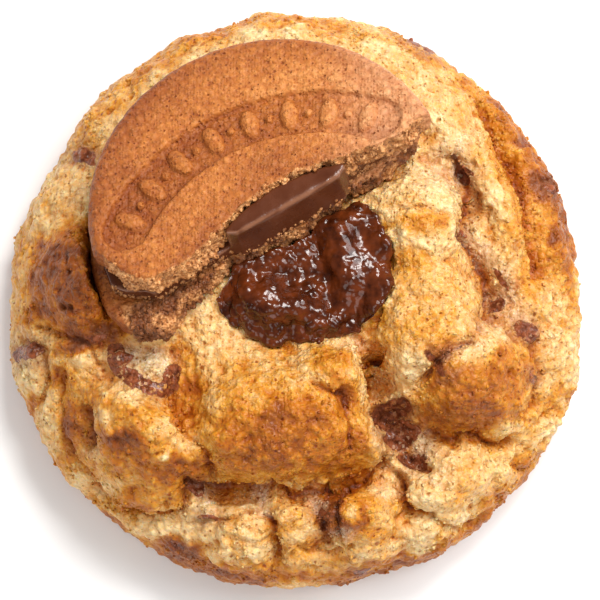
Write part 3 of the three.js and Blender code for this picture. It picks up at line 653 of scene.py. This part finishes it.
def doughBrowning(points, place, hollow, wideHollow, shadowLine):
    brown = np.full(len(points), dough["bareBrown"])
    for oval in browned:
        mask = ovalMask(place["far"], oval, 0.6)
        brown = brown * (1 - mask) + np.maximum(brown, oval[5]) * mask
    for oval in paleSpots:
        mask = ovalMask(place["near"], oval, 0.7)
        brown = brown * (1 - mask) + oval[5] * mask
    side = dough["sideBrown"] + waves(points, dough["sideClouds"], 10)
    low = 1 - smooth(points[:, 2] / mm + waves(points, dough["footWaves"], 16), *dough["footHeights"])
    side = side * (1 - low) + dough["footBrown"] * low
    brown = brown * place["shown"] + side * (1 - place["shown"])
    brown += waves(points, dough["clouds"], 11) + waves(points, dough["specks"], 12)
    # painted shade: browner down in the hollows, paler on the bulges
    brown += 0.12 * hollow - 0.05 * smooth(-wideHollow, 0.1, 0.8)
    # painted shadow: a dark line along the bottom of each crease
    brown = np.maximum(brown, dough["creaseShadow"] * shadowLine * place["seen"])
    brown = brown * (1 - place["onBase"]) + dough["baseBrown"] * place["onBase"]
    return np.clip(brown, 0, 1)


def strongest(at, ovals, start):  # the greatest value of the ovals at each place
    for oval in ovals:
        start = np.maximum(start, oval[5] * ovalMask(at, oval, 0.7))
    return start


def grainDensity(points, place, crease, chocolate):  # most in the creases, none on the base
    density = 0.1 + smooth(noiseAt(points, 4, 14), 0.1, 0.5) + 2.0 * smooth(crease, 0.15, 0.8)
    density *= 1 - place["onBase"]
    high = smooth(points[:, 2], 1.2 * mm, 3 * mm)
    return density * ((1 - 0.85 * chocolate) * high * (0.25 + 0.75 * place["seen"]))


def makeDough():
    piece = fineCopy("dough", "doughBody", dough["grid"], rounds=3)
    applyModifier(piece, "SUBSURF", levels=1, render_levels=1, subdivision_type="SIMPLE")
    applyModifier(piece, "SMOOTH", factor=0.5, iterations=1)
    points, normals = pointsOf(piece), normalsOf(piece)
    place = placesOn(points, normals)
    onBase, shown = place["onBase"], place["shown"]
    swellRim(points)
    out = np.zeros(len(points))
    for oval in bumps:
        out += oval[5] * ovalMask(place["bump"], oval, 0.55)
    chocolate, stain = addChocolate(points, place, out)
    crease, shadowLine = creasesAt(place["crease"])
    out = (out - dough["creaseDepth"] * crease) * place["seen"]
    addCrumb(points, place, out, (1 - 0.6 * chocolate) * (1 - onBase))
    movePoints(piece, points + normals * out[:, None] * mm)

    wideHollow, fineHollow = hollowsOf(piece, 90), hollowsOf(piece, 8)
    # painted shade for the hollows, from how deep each place lies under the smoothed surface
    hollow = np.clip(smooth(wideHollow, 0.05, 0.8) + 0.5 * smooth(fineHollow, 0.02, 0.22), 0, 1)
    stray = smooth(noiseAt(points, 5, 13), 0.3, 0.6) * 0.5  # on the sides, which the picture doesn't show
    stain = strongest(place["far"], stained, stain)
    dust = strongest(place["near"], dusted, np.zeros(len(points)))
    setMask(piece, "browning", doughBrowning(points, place, hollow, wideHollow, shadowLine))
    setMask(piece, "chocolate", chocolate)
    setMask(piece, "stain", stain * shown + stray * (1 - shown) * (1 - onBase))
    setMask(piece, "dust", dust * shown)
    setMask(piece, "hollow", hollow * (1 - onBase))
    density = grainDensity(points, place, crease, chocolate)
    grains = scatter(piece, "doughGrains", dough["grains"], dough["grainSize"], density, 51,
                     dough["grainSink"], doughMasks)
    applyModifier(piece, "DECIMATE", ratio=dough["keep"])  # thins the plain base most
    finishPiece(piece, doughMaterial, "dough")
    finishPiece(grains, doughMaterial, "dough")


# from pale dough to the darkest crust
doughTones = [
    (0.0, (0.90, 0.68, 0.35)), (0.2, (0.81, 0.50, 0.18)), (0.4, (0.71, 0.32, 0.03)),
    (0.6, (0.53, 0.172, 0.006)), (0.8, (0.31, 0.08, 0.006)), (1.0, (0.12, 0.027, 0.004)),
]


def makeDoughMaterial():
    material, t, shader = newMaterial("bakedDough")
    crumb = useCrumb(t, Grain=0.44, Pore_Spacing=0.9, Pore=0.24, Hole=0.4, Clumps=0.85)
    mask = maskNodes(t, *doughMasks)
    place = objectPlace(t)
    cloud = noiseNode(t, place, 2.6, 4.0, 0.6).outputs["Fac"]
    tone = doMath(t, "ADD", mask["browning"], scaled(t, cloud, 0.5, -0.25))
    tone = doMath(t, "ADD", tone, scaled(t, crumb["Speckle"], 0.12, -0.06), clamp=True)
    baked = colourSteps(t, tone, doughTones)
    # painted shade: a deeper, warmer colour in the hollows
    deep = tinted(t, baked, (0.8, 0.5, 0.24, 1))
    baked = mixColour(t, scaled(t, mask["hollow"], 0.65), baked, deep)
    stain = doMath(t, "MULTIPLY", mask["stain"], rampTo(t, cloud, 0.3, 0.62))
    baked = mixColour(t, stain, baked, (0.32, 0.115, 0.045, 1))
    dusty = doMath(t, "ADD", cloud, scaled(t, crumb["Speckle"], 0.3))
    dusty = doMath(t, "MULTIPLY", mask["dust"], rampTo(t, dusty, 0.45, 0.8))
    baked = mixColour(t, dusty, baked, (0.86, 0.70, 0.50, 1))
    # painted sheen on the grain tops, less as the crumb browns, and more under dust
    sheenAndDust = doMath(t, "ADD", scaled(t, mask["dust"], 0.5), rampTo(t, tone, 0.2, 0.6, 0.26, 0.03))
    crumbs = shaded(t, baked, crumb, (0.62, 0.37, 0.13, 1), (0.46, 0.21, 0.05, 1), sheenAndDust)

    melted = noiseNode(t, place, 1.1, 5.0, 0.7).outputs["Fac"]
    isChocolate = doMath(t, "ADD", mask["chocolate"], scaled(t, melted, 1.5, -0.75))
    isChocolate = rampTo(t, isChocolate, 0.35, 0.6)
    stuck = rampTo(t, doMath(t, "ADD", crumb["Speckle"], scaled(t, cloud, 1.2, -0.6)), 0.85, 0.95)
    isChocolate = doMath(t, "MULTIPLY", isChocolate, scaled(t, stuck, -0.6, 1.0))  # crumbs are stuck on it
    dark, milky = (0.10, 0.022, 0.007, 1), (0.30, 0.085, 0.032, 1)
    chocolate = mixColour(t, rampTo(t, melted, 0.38, 0.62), dark, milky)
    t.links.new(mixColour(t, isChocolate, crumbs, chocolate), shader.inputs["Base Color"])
    t.links.new(rampTo(t, isChocolate, 0.0, 1.0, 0.38, 0.23), shader.inputs["Roughness"])
    addBump(t, shader, doMath(t, "MULTIPLY", crumb["Height"], scaled(t, isChocolate, -0.5, 1.0)), 0.34)
    shader.inputs["Specular IOR Level"].default_value = 0.3
    shader.inputs["Subsurface Weight"].default_value = 0.3
    shader.inputs["Subsurface Radius"].default_value = (1.2 * mm, 0.55 * mm, 0.2 * mm)
    shader.inputs["Subsurface Scale"].default_value = 1.0
    return material


# The biscuit, in its own frame: X along the broken edge, Y away from it and Z out of the stamped face,
# whose arched band holds beads with small pips between them.
biscuit = {
    "centre": (-4.4, 11.2, 29.6),
    "turn": 24,
    "tilt": 22,
    "topGrid": 0.25,
    "lowGrid": 0.3,
    # both wafers' middles in X and Y, the round break's middle and radius, and where the round edge begins
    "topMiddle": (0.7, -0.1),
    "lowMiddle": (-0.7, -0.5),
    "bite": (5.2, -22.4, 23.7),
    "edge": (23.2, 24.0),
    # what is pressed into the face, and how deep below it that can reach
    "band": {"ring": 27, "below": 15.6, "halfWide": 3.3, "spread": 88, "deep": 0.8},
    "beads": {"count": 8, "spread": 82, "long": 2.4, "wide": 1.3, "rise": 0.15},
    "pip": {"half": 0.65, "rise": 0.0},
    "faceDeep": 1.1,
    # relief of the break and of the rest, as pairs of size and height
    "breakBeads": (0.9, 0.5),
    "breakWaves": (2.0, 0.8),
    "breakRipples": (0.7, 0.35),
    "faceWaves": (2.0, 0.09),
    "faceRipples": (0.8, 0.08),
    # loose crumbs: how many on each piece, their range of radii, and how deep they sit
    "crumbs": {"upperWafer": 900, "lowerWafer": 1900, "chocolateFilling": 300},
    "crumbSize": (0.1, 0.46),
    "crumbSink": 0.7,
}
waferMasks = ("broken", "rim", "smear", "pressed")


def biscuitPlace():  # from the biscuit's own frame to the object's, in metres
    moved = (Vector(biscuit["centre"]) + Vector((*placed, 0))) * mm
    turn = Matrix.Rotation(math.radians(biscuit["turn"]), 4, "Z")
    tilt = Matrix.Rotation(-math.radians(biscuit["tilt"]), 4, "X")
    return Matrix.Translation(moved) @ turn @ tilt


def toBiscuit(points):
    m = np.array(biscuitPlace().inverted())
    return (points @ m[:3, :3].T + m[:3, 3]) / mm


def fromBiscuit(local):
    m = np.array(biscuitPlace())
    return local * mm @ m[:3, :3].T + m[:3, 3]


def turnedToBiscuit(normals):
    return normals @ np.array(biscuitPlace())[:3, :3]


def beadPlaces():
    bead, band = biscuit["beads"], biscuit["band"]
    count = 2 * bead["count"] - 1
    for i in range(count):
        angle = math.radians(90 + bead["spread"] * (0.5 - i / (count - 1)))
        yield band["ring"] * math.cos(angle), band["ring"] * math.sin(angle) - band["below"], angle, i % 2


def faceRelief(local):  # height of the stamped face, and where its band is
    band, bead, pip = biscuit["band"], biscuit["beads"], biscuit["pip"]
    x, y = local[:, 0], local[:, 1] + band["below"]
    beyond = np.maximum(np.abs(np.arctan2(x, y)) - math.radians(band["spread"] / 2), 0) * band["ring"]
    off = np.hypot(np.hypot(x, y) - band["ring"], beyond)
    height = -band["deep"] * (1 - smooth(off, band["halfWide"] - 0.4, band["halfWide"] + 0.25))
    for beadX, beadY, angle, isPip in beadPlaces():
        c, s = math.cos(angle), math.sin(angle)
        dx, dy = local[:, 0] - beadX, local[:, 1] - beadY
        long, wide = (pip["half"], pip["half"]) if isPip else (bead["long"], bead["wide"])
        rise = pip["rise"] if isPip else bead["rise"]
        reach = np.hypot((dx * c + dy * s) / long, (dy * c - dx * s) / wide)
        dome = np.sqrt(np.clip(1 - reach ** 2.4, 0, 1))
        height = np.maximum(height, -band["deep"] + (band["deep"] + rise) * dome)
    return height, off < band["halfWide"] + 1


def makeUpperWafer():
    piece = fineCopy("biscuit_top", "upperWafer", biscuit["topGrid"], rounds=1)
    local = toBiscuit(pointsOf(piece))
    height, inBand = faceRelief(local)
    onFace = inBand & (local[:, 2] > -biscuit["faceDeep"])
    local[onFace, 2] = height[onFace]
    movePoints(piece, fromBiscuit(local))
    # how deep the band is pressed, which paints shade there
    setMask(piece, "pressed", np.where(onFace, smooth(-height, 0.1, 0.7), 0))
    tilted, local = turnedToBiscuit(normalsOf(piece)), toBiscuit(pointsOf(piece))
    upright = (1 - smooth(np.abs(tilted[:, 2]), 0.45, 0.85)) * (1 - onFace.astype(float))
    crumbleEdges(piece, local, upright, biscuit["topMiddle"])
    setMask(piece, "smear", np.zeros(len(local)))
    finishPiece(piece, waferMaterial, "biscuit_top")
    return piece


def makeLowerWafer():  # its end sticks out, all crumbs, smeared with chocolate
    piece = fineCopy("biscuit_bottom", "lowerWafer", biscuit["lowGrid"], rounds=1)
    setMask(piece, "pressed", np.zeros(len(piece.data.vertices)))
    points, tilted = pointsOf(piece), turnedToBiscuit(normalsOf(piece))
    local = toBiscuit(points)
    upright = 1 - smooth(np.abs(tilted[:, 2]), 0.45, 0.85)
    upright = np.maximum(upright, 1 - smooth(local[:, 1], -4.4, -2.6))
    broken = crumbleEdges(piece, local, upright, biscuit["lowMiddle"])
    setMask(piece, "smear", smooth(noiseAt(points, 3, 26), -0.4, 0.1) * broken)
    finishPiece(piece, waferMaterial, "biscuit_bottom")
    return piece


def crumbleEdges(piece, local, upright, middle):  # roughens the break, and gives where it is
    points, normals = pointsOf(piece), normalsOf(piece)
    fromMiddle = np.hypot(local[:, 0] - middle[0], local[:, 1] - middle[1])
    broken = upright * (1 - smooth(fromMiddle, *biscuit["edge"]))
    crumbs = beads(points, biscuit["breakBeads"], 21) + waves(points, biscuit["breakWaves"], 22)
    crumbs += waves(points, biscuit["breakRipples"], 23)
    fine = waves(points, biscuit["faceWaves"], 24) + waves(points, biscuit["faceRipples"], 25)
    out = crumbs * broken + fine * (1 - broken)
    movePoints(piece, points + normals * out[:, None] * mm)
    setMask(piece, "broken", broken)
    biteX, biteY, biteRadius = biscuit["bite"]
    fromBite = np.hypot(local[:, 0] - biteX, local[:, 1] - biteY) - biteRadius
    setMask(piece, "rim", np.maximum(smooth(fromMiddle, 19, 25), 1 - smooth(fromBite, 0, 7)) * (1 - broken))
    return broken


waferTones = [(0.15, (0.29, 0.072, 0.011)), (0.5, (0.50, 0.163, 0.029)), (0.8, (0.70, 0.29, 0.078))]
innerTones = [(0.3, (0.36, 0.13, 0.036)), (0.5, (0.62, 0.27, 0.085)), (0.72, (0.84, 0.46, 0.19))]
smearTones = [(0.3, (0.12, 0.03, 0.008)), (0.7, (0.34, 0.115, 0.03))]


def makeWaferMaterial():
    material, t, shader = newMaterial("bakedBiscuit")
    crumb = useCrumb(t, Grain=0.42, Pore_Spacing=0.75, Pore=0.2, Hole=0.3, Clumps=0.4)
    mask = maskNodes(t, *waferMasks)
    place = objectPlace(t)
    cloud = noiseNode(t, place, 6, 6.0, 0.6).outputs["Fac"]
    fine = noiseNode(t, place, 0.7, 3.0, 0.6).outputs["Fac"]
    side = addNode(t, "ShaderNodeSeparateXYZ", {"Vector": place}).outputs["X"]
    tone = doMath(t, "ADD", scaled(t, cloud, 0.7, 0.2), scaled(t, fine, 0.5, -0.25))
    tone = doMath(t, "ADD", tone, rampTo(t, side, -0.03, 0.02, -0.14, 0.12))  # painted shade and light: darker on the left, paler towards the right
    # darker along the round edge, where it is baked browner, and beside the bite, in part painted shade
    tone = doMath(t, "SUBTRACT", tone, scaled(t, mask["rim"], 0.2))
    # painted shade: darker down in the pressed band
    tone = doMath(t, "SUBTRACT", tone, scaled(t, mask["pressed"], 0.22), clamp=True)
    sheen = doMath(t, "MULTIPLY", rampTo(t, side, 0.001, 0.014, 0.0, 0.3), scaled(t, fine, 1.0, 0.5))
    face = mixColour(t, sheen, colourSteps(t, tone, waferTones), (0.84, 0.50, 0.30, 1))
    crust = shaded(t, face, crumb, (0.6, 0.38, 0.21, 1), (0.5, 0.29, 0.16, 1), 0.03)

    grainTone = doMath(t, "ADD", fine, scaled(t, crumb["Speckle"], 0.3, -0.15))
    inner = colourSteps(t, grainTone, innerTones)
    inner = mixColour(t, mask["smear"], inner, colourSteps(t, fine, smearTones))
    inner = shaded(t, inner, crumb, (0.56, 0.36, 0.2, 1), (0.32, 0.17, 0.09, 1), 0.1)
    t.links.new(mixColour(t, mask["broken"], crust, inner), shader.inputs["Base Color"])
    shader.inputs["Roughness"].default_value = 0.5
    shader.inputs["Specular IOR Level"].default_value = 0.3
    addBump(t, shader, crumb["Height"], 0.36)
    return material


# The filling is set chocolate, with a painted highlight along the crest of its front.
filling = {"grid": 0.28, "waves": (3.5, 0.1), "ripples": (1.2, 0.03)}


def makeFilling():
    piece = fineCopy("filling", "chocolateFilling", filling["grid"], rounds=2)
    points, normals = pointsOf(piece), normalsOf(piece)
    out = waves(points, filling["waves"], 31) + waves(points, filling["ripples"], 32)
    movePoints(piece, points + normals * out[:, None] * mm)
    front = smooth(-turnedToBiscuit(normals)[:, 1], 0.1, 0.5)
    # a painted highlight along the front's crest, where it bulges
    setMask(piece, "crestHighlight", smooth(-hollowsOf(piece, 8), 0.07, 0.15) * front)
    finishPiece(piece, makeFillingMaterial(), "filling")
    return piece


def makeFillingMaterial():
    material, t, shader = newMaterial("setChocolate")
    place = objectPlace(t)
    cloud = noiseNode(t, place, 4, 4.0).outputs["Fac"]
    fine = noiseNode(t, place, 0.4, 3.0).outputs["Fac"]
    crestHighlight = maskNodes(t, "crestHighlight")["crestHighlight"]
    colour = colourSteps(t, cloud, [(0.3, (0.075, 0.018, 0.006)), (0.7, (0.125, 0.034, 0.012))])
    colour = mixColour(t, scaled(t, crestHighlight, 0.5), colour, (0.36, 0.16, 0.085, 1))
    t.links.new(colour, shader.inputs["Base Color"])
    t.links.new(rampTo(t, cloud, 0.3, 0.7, 0.2, 0.32), shader.inputs["Roughness"])
    addBump(t, shader, fine, 0.035)
    return material


def fillingCrumbPlaces(piece):  # at both ends of the filling's front, and along its foot
    points = pointsOf(piece)
    local = toBiscuit(points)
    facing = smooth(-turnedToBiscuit(normalsOf(piece))[:, 1], 0.0, 0.5)
    left = 1 - smooth(local[:, 0], -9.5, -7)
    right = smooth(local[:, 0], 11.5, 13)
    foot = 1 - smooth(local[:, 2], -6.4, -5.4)
    gone = smooth(noiseAt(points, 2.2, 66), -0.1, 0.3)
    for name, value in (("broken", 1), ("rim", 0), ("pressed", 0), ("smear", 0.4)):
        setMask(piece, name, np.full(len(points), value, float))
    return facing * np.maximum(np.maximum(left * gone, right), foot * 0.6)


def makeCrumbs(pieces):  # loose crumbs on the broken edges and on the filling beside them
    for index, piece in enumerate(pieces):
        if piece.name == "chocolateFilling":
            weights = fillingCrumbPlaces(piece)
        else:
            patches = smooth(noiseAt(pointsOf(piece), 2.5, 61 + index), -0.1, 0.4)
            weights = maskOf(piece, "broken") * (0.3 + patches)
        crumbs = scatter(piece, piece.name + "Crumbs", biscuit["crumbs"][piece.name], biscuit["crumbSize"],
                         weights, 71 + index, biscuit["crumbSink"], waferMasks)
        finishPiece(crumbs, waferMaterial)


# The melted chocolate: reliefs as pairs of size and height, with a valley that parts its two lobes and
# a calm oval with fewer beads, both in the picture's pixels.
sauce = {
    "grid": 0.3,
    "folds": (6.0, 0.9),
    "lobes": (2.6, 0.7),
    "beads": (1.15, 0.6),
    "small": (0.6, 0.1),
    "calm": (354, 264, 34, 46, 20),
    "valley": [(306, 226), (318, 250), (324, 276), (334, 304)],
    "valleyHalf": 8,
    "valleyDeep": 1.1,
}


def makeSauce():
    piece = fineCopy("chocolate_sauce", "meltedChocolate", sauce["grid"], rounds=4)
    applyModifier(piece, "SUBSURF", levels=1, render_levels=1)
    points, normals = pointsOf(piece), normalsOf(piece)
    at = pictureOf(points)
    calm = ovalMask(at, sauce["calm"], 0.5)
    patch = smooth(noiseAt(points, 3.0, 43), -0.5, 0.3)
    lean = np.stack([noiseAt(points, 2.5, 46), noiseAt(points, 2.5, 47)], 1)
    away = distanceTo(at + lean * 4, sauce["valley"]) / sauce["valleyHalf"]
    folds = 0.5 - 2.2 * np.abs(noiseAt(points, sauce["folds"][0], 42))
    out = folds * sauce["folds"][1] + waves(points, sauce["lobes"], 45)
    valley = sauce["valleyDeep"] * np.exp(-away ** 2) * smooth(normals[:, 2], 0.1, 0.5)
    out = out * (1 - 0.5 * calm) - valley
    movePoints(piece, points + normals * out[:, None] * mm)
    applyModifier(piece, "SMOOTH", factor=0.5, iterations=6)

    points, normals = pointsOf(piece), normalsOf(piece)
    out = beads(points, sauce["beads"], 41) * (0.5 + 0.5 * patch) * (1 - 0.72 * calm)
    out += beads(points, sauce["small"], 44)
    movePoints(piece, points + normals * out[:, None] * mm)
    applyModifier(piece, "SMOOTH", factor=0.5, iterations=3)
    finishPiece(piece, makeSauceMaterial(), "chocolate_sauce")


def makeSauceMaterial():
    material, t, shader = newMaterial("wetChocolate")
    place = objectPlace(t)
    cloud = noiseNode(t, place, 2.2, 3.0).outputs["Fac"]
    grain = noiseNode(t, place, 0.7, 2.0).outputs["Fac"]
    colour = colourSteps(t, cloud, [(0.35, (0.036, 0.006, 0.0012)), (0.65, (0.135, 0.026, 0.005))])
    t.links.new(colour, shader.inputs["Base Color"])
    shader.inputs["Roughness"].default_value = 0.18
    shader.inputs["IOR"].default_value = 1.5
    addBump(t, shader, grain, 0.02)
    return material


# The floor, the lights and the background. Each light is a disk that looks at the cookie:
# place and width in metres, power and colour.
lights = {
    "key": ((0.20, 0.39, 0.62), 0.28, 4.2, (1.0, 0.98, 0.95)),
    "side": ((0.44, 0.16, 0.54), 0.44, 2.6, (0.98, 0.99, 1.0)),
    "front": ((-0.15, -0.55, 0.55), 0.5, 1.2, (1.0, 0.98, 0.96)),
}
world = {"colour": (1.0, 0.99, 0.98, 1), "strength": 0.6, "inReflections": 0.1}


def makeFloor():
    bpy.ops.mesh.primitive_plane_add(size=3, location=(0, 0, 0))
    floor = bpy.context.object
    floor.name = "floor"
    material, t, shader = newMaterial("paleFloor")
    shader.inputs["Base Color"].default_value = (0.93, 0.93, 0.93, 1)
    shader.inputs["Roughness"].default_value = 0.9
    floor.data.materials.append(material)


def makeLights():
    for name, (place, size, power, colour) in lights.items():
        data = bpy.data.lights.new(name, "AREA")
        data.shape = "DISK"
        data.size = size
        data.energy = power
        data.color = colour
        light = bpy.data.objects.new(name, data)
        light.location = place
        light.rotation_euler = Vector(place).to_track_quat("Z", "Y").to_euler()
        bpy.context.collection.objects.link(light)


def makeBackground():
    background = bpy.data.worlds.new("world")
    background.use_nodes = True
    tree = background.node_tree
    isGlossy = addNode(tree, "ShaderNodeLightPath").outputs["Is Glossy Ray"]
    dimmed = world["inReflections"] - world["strength"]
    sockets = tree.nodes["Background"].inputs
    sockets["Color"].default_value = world["colour"]
    tree.links.new(scaled(tree, isGlossy, dimmed, world["strength"]), sockets["Strength"])
    bpy.context.scene.world = background
    bpy.context.scene.view_settings.view_transform = "Standard"


makeCamera()
crumbGroup = makeCrumbGroup()
doughMaterial = makeDoughMaterial()
waferMaterial = makeWaferMaterial()
print("camera and shared effects ready")
makeDough()
makeCrumbs([makeUpperWafer(), makeLowerWafer(), makeFilling()])
makeSauce()
makeFloor()
makeLights()
makeBackground()
print("floor, lights and background ready")
